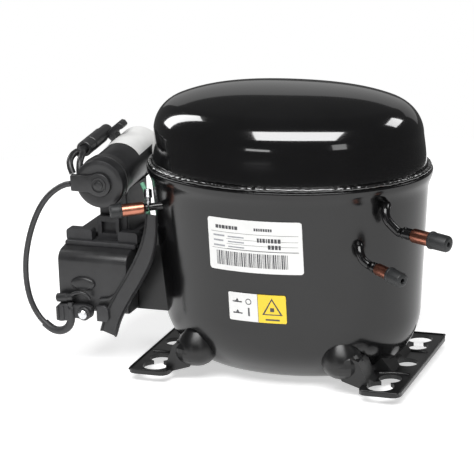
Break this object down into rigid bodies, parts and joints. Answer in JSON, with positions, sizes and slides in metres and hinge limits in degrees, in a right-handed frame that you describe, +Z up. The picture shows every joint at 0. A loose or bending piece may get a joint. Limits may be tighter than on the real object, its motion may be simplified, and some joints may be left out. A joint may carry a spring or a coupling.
{
  "type": "hermetic reciprocating compressor",
  "caption": "Sealed refrigeration compressor in a black oval welded shell, with a relay box and capacitor at one end, copper line stubs, slotted feet and a working pump and motor inside.",
  "frame": {"origin": "centre of the pattern of mounting holes, level with the flat underside of the shell, which is the lowest face", "axes": "+X towards the suction and discharge tubes, -Y towards the labelled side, +Z up along the crankshaft"},
  "size_m": [0.3195, 0.1565, 0.2044],
  "materials": {
    "black_paint": "high gloss black enamel",
    "black_plastic": "satin black moulded plastic",
    "grey_plastic": "matt grey moulded plastic",
    "copper": "drawn copper tube, slightly tarnished",
    "rubber": "matt black rubber",
    "cable": "satin black cable jacket",
    "label": "white satin label film",
    "caution_label": "white and yellow label film",
    "green_wire": "green wire insulation",
    "zinc": "bright zinc plate",
    "steel": "machined steel",
    "cast_iron": "oiled cast iron",
    "lamination": "blued stacked laminations",
    "winding": "enamelled copper wire",
    "aluminium": "as cast aluminium"
  },
  "bodies": {
    "housing": {"lower_housing": "black_paint", "upper_housing": "black_paint", "weld_bead": "black_paint", "base_plate_left": "black_paint", "base_plate_right": "black_paint", "rating_label": "label", "caution_label": "caution_label", "suction_tube": "black_paint", "suction_connector": "copper", "discharge_tube": "black_paint", "discharge_connector": "copper", "process_tube": "black_paint", "process_connector": "copper", "hermetic_terminal": "steel", "terminal_fence": "black_paint", "relay_base": "black_plastic", "relay_cover": "black_plastic", "ptc_relay": "grey_plastic", "overload_protector": "black_plastic", "cover_strap": "black_plastic", "cable_clamp": "black_plastic", "clamp_screw": "zinc", "capacitor_can": "black_plastic", "capacitor_cap": "black_plastic", "capacitor_cradle": "black_plastic", "capacitor_strap": "black_plastic", "strap_latch": "black_plastic", "capacitor_sticker": "label", "capacitor_cable": "cable", "earth_lead": "green_wire", "earth_screw": "zinc", "discharge_line": "copper", "motor_lead": "cable", "suspension_spring_1": "steel", "suspension_spring_2": "steel", "suspension_spring_3": "steel", "suspension_spring_4": "steel", "crankcase": "cast_iron", "stator_core": "lamination", "upper_winding": "winding", "lower_winding": "winding", "valve_plate": "steel", "suction_reed": "steel", "cylinder_head": "aluminium", "head_bolt_1": "steel", "head_bolt_2": "steel", "head_bolt_3": "steel", "head_bolt_4": "steel", "suction_muffler": "grey_plastic"},
    "crank": {"crankshaft": "steel", "rotor": "aluminium", "oil_pickup": "steel"},
    "piston": {"piston": "cast_iron", "wrist_pin": "steel"},
    "con_rod": {"connecting_rod": "cast_iron", "crank_pin_sleeve": "steel"},
    "suction_cap": {"suction_plug": "rubber"},
    "discharge_cap": {"discharge_plug": "rubber"},
    "process_cap": {"process_plug": "rubber"}
  },
  "joints": [
    {"name": "crank_turn", "type": "hinge", "parent": "housing", "child": "crank", "pos_m": [-0.003, 0.002, 0.08], "axis": [0, 0, 1], "continuous": true},
    {"name": "piston_stroke", "type": "slide", "parent": "housing", "child": "piston", "axis": [1, 0, 0], "range_m": [-0.0195, 0]},
    {"name": "rod_swing", "type": "hinge", "parent": "piston", "child": "con_rod", "pos_m": [0.04875, 0.002, 0.141], "axis": [0, 0, 1], "range_deg": [-13.4, 13.4]},
    {"name": "suction_plug_pull", "type": "slide", "parent": "housing", "child": "suction_cap", "axis": [0.936, -0.3485, -0.0498], "range_m": [0, 0.02]},
    {"name": "discharge_plug_pull", "type": "slide", "parent": "housing", "child": "discharge_cap", "axis": [0.8415, -0.5309, -0.1002], "range_m": [0, 0.02]},
    {"name": "process_plug_pull", "type": "slide", "parent": "housing", "child": "process_cap", "axis": [-0.8715, -0.4877, -0.052], "range_m": [0, 0.015]}
  ]
}
